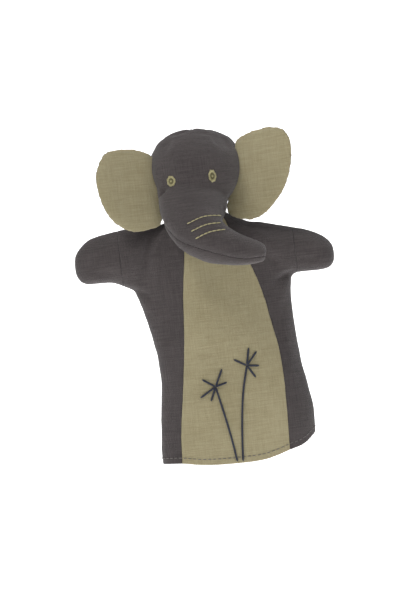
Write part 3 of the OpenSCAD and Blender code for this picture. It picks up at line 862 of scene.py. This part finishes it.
def dress_head():
    form = make_head_form()
    tree = surface_of(form)
    pieces = {
        "face_cloth": lambda c: c.y < FACE_SEAM_Y and (under_gap(c) > 0),
        "under_trunk_cloth": lambda c: c.y < FACE_SEAM_Y and under_gap(c) <= 0,
        "left_back_head_cloth": lambda c: c.y > FACE_SEAM_Y and c.x < HEAD.x,
        "right_back_head_cloth": lambda c: c.y > FACE_SEAM_Y and c.x > HEAD.x,
    }
    stands = {
        "face_cloth": ("face_panel", "trunk_top_panel"),
        "under_trunk_cloth": ("chin_gusset", "trunk_under_panel"),
        "left_back_head_cloth": ("left_head_back",), "right_back_head_cloth": ("right_head_back",),
    }
    for name, keep in pieces.items():
        obj = part_of(form, name, keep)
        thickened(obj, 1.0)
        bends = "trunk" in name or "face" in name
        dressed(obj, GREY, None if bends else "head", "grey_cloth", *stands[name])
        if bends:
            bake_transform(obj)
    filling = dressed(shrunk(part_of(form, "head_filling", lambda c: True), 1.6), FILLING, None, "wadding",
                      "head_stuffing", "trunk_stuffing")
    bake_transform(filling)
    bpy.data.objects.remove(form)
    eyes = {"left": (-18.5, 229, 3.4, 4.3), "right": (14, 229, 3.1, 4.9)}
    for word, (x, z, rx, rz) in eyes.items():
        ring = eye_threads(tree, x, z, rx, rz, 0.55, 1.0, 46, 0.35)
        eye_ring = thread_piece(f"{word}_eye_ring", ring, 0.26, 6)
        dressed(eye_ring, PALE_THREAD, "head", "pale_thread", f"{word}_eye")
        iris = eye_threads(tree, x, z, rx, rz, 0.16, 0.6, 26, 0.3)
        dressed(thread_piece(f"{word}_eye_middle", iris, 0.26, 6), OLIVE_THREAD, "head", "pale_thread")
        dot = [laid_line(tree, ((x - 0.7, z + d), (x + 0.7, z + d)), 3, 0.75) for d in (-0.6, -0.1, 0.4)]
        dressed(thread_piece(f"{word}_eye_dot", dot, 0.26, 6), PALE_THREAD, "head", "pale_thread")
    arcs = (((-10.2, 193), (3, 197), (16.9, 196.6)), ((-7.6, 186.8), (5, 190.6), (18.5, 190.5)),
            ((-4.9, 180.7), (7, 184.6), (20.3, 184.9)))
    paths = [path for arc in arcs for path in stitched_line(tree, arc, 3.4, 0.15, 0.5)]
    wrinkles = thread_piece("trunk_wrinkle_threads", paths, 0.42, 6)
    dressed(wrinkles, PALE_THREAD, None, "pale_thread", "trunk_wrinkles")
    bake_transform(wrinkles)


def dress_ears():
    for side, word in ((-1, "left"), (1, "right")):
        form = make_ear_form(side)
        front = ear_front(side)
        wadding = shrunk(part_of(form, f"{word}_ear_filling", lambda c: True), 1.1)
        dressed(wadding, FILLING, f"{word}_ear", "wadding", f"{word}_ear_wadding")
        for place, keep, cloth, slot in (
            ("front", front, TAN, "tan_cloth"), ("back", lambda c: not front(c), GREY, "grey_cloth")
        ):
            obj = part_of(form, f"{word}_ear_{place}_cloth", keep)
            thickened(obj, 0.7)
            dressed(obj, cloth, f"{word}_ear", slot, f"{word}_ear_{place}")
        bpy.data.objects.remove(form)


def dress_neck():
    """The gathered cloth where the body goes up into the head."""
    bm = bmesh.new()
    rings = []
    for i in range(13):
        z = mix(191, 209, i / 12)
        ring = []
        for k in range(72):
            a = 2 * math.pi * k / 72
            pleat = 0.6 * math.sin(18 * a) * (1 - abs(2 * i / 12 - 1) ** 2)
            r = 14.4 - 0.9 * math.exp(-((z - 203) / 3) ** 2) + pleat
            ring.append(Vector((2 + r * math.cos(a), r * math.sin(a), z)))
        rings.append(ring)
    lofted(bm, rings, 72)
    caps = [face for face in bm.faces if len(face.verts) > 4]
    bmesh.ops.delete(bm, geom=caps, context="FACES_ONLY")
    bmesh.ops.recalc_face_normals(bm, faces=bm.faces)
    obj = placed(bm, "neck_gather_cloth")
    thickened(obj, 0.8)
    dressed(obj, GREY, "neck", "grey_cloth", "neck_band")


def dress_inner():
    """Carried-over pieces keep their shape and get their finish."""
    for node, material in (
        ("finger_tube", CARD), ("neck_thread", PALE_THREAD), ("crown_stitches", NAVY_THREAD),
    ):
        mesh = bpy.data.objects[node].data
        mesh.materials.clear()
        mesh.materials.append(material)


# ---- studio ----

def studio():
    scene = bpy.context.scene
    world = bpy.data.worlds.new("studio")
    world.use_nodes = True
    world.node_tree.nodes["Background"].inputs["Color"].default_value = (1, 1, 1, 1)
    world.node_tree.nodes["Background"].inputs["Strength"].default_value = 0.18
    scene.world = world
    bm = bmesh.new()
    floor = -150
    near, bend = 4000, 300
    turns = [math.pi / 2 * k / 8 for k in range(1, 9)]
    profile = [(-3000, floor), (near, floor)]
    profile += [(near + bend * math.sin(a), floor + bend - bend * math.cos(a)) for a in turns]
    profile.append((near + bend, 2400))
    verts = [bm.verts.new((-2500, y, z)) for y, z in profile]
    edges = [bm.edges.new(pair) for pair in zip(verts, verts[1:])]
    grown = bmesh.ops.extrude_edge_only(bm, edges=edges)["geom"]
    bmesh.ops.translate(bm, vec=(5000, 0, 0), verts=[g for g in grown if isinstance(g, bmesh.types.BMVert)])
    sweep = placed(bm, "paper_sweep")
    paper = Finish("white_paper", 1.0)
    paper.shader.inputs["Emission Color"].default_value = (1, 1, 1, 1)
    paper.shader.inputs["Emission Strength"].default_value = 1.0
    sweep.data.materials.append(paper.finish(rgb(250, 250, 250)))
    for name, place, size, watts in (
        ("key", (-0.7, -0.9, 1.8), 0.6, 17),
        ("fill", (1.4, -1.2, 0.5), 1.6, 2),
        ("top", (0.2, -0.1, 1.6), 0.8, 9),
    ):
        light = bpy.data.lights.new(name, "AREA")
        light.size = size
        light.energy = watts
        lamp = bpy.data.objects.new(name, light)
        lamp.location = place
        aim = Vector((0, 0, 0.14)) - Vector(place)
        lamp.rotation_euler = aim.to_track_quat("-Z", "Y").to_euler()
        scene.collection.objects.link(lamp)
    lens = bpy.data.cameras.new("camera")
    lens.lens = 150
    camera = bpy.data.objects.new("camera", lens)
    reach = lens.lens / 36 * 600 * 0.797 * MM
    lean = math.radians(LEAN)
    right = Vector((math.cos(lean), 0, -math.sin(lean)))
    up = Vector((math.sin(lean), 0, math.cos(lean)))
    back = Vector((0, -1, 0))
    turn = Matrix((right, up, back)).transposed().to_4x4()
    aim = Vector((-7.5, -20, 132.8)) * MM
    camera.matrix_world = Matrix.Translation(aim + back * reach) @ turn
    scene.collection.objects.link(camera)
    scene.camera = camera
    scene.view_settings.view_transform = "Standard"


studio()
glove_tree = dress_glove()
dress_embroidery(glove_tree)
dress_head()
dress_ears()
dress_neck()
dress_inner()
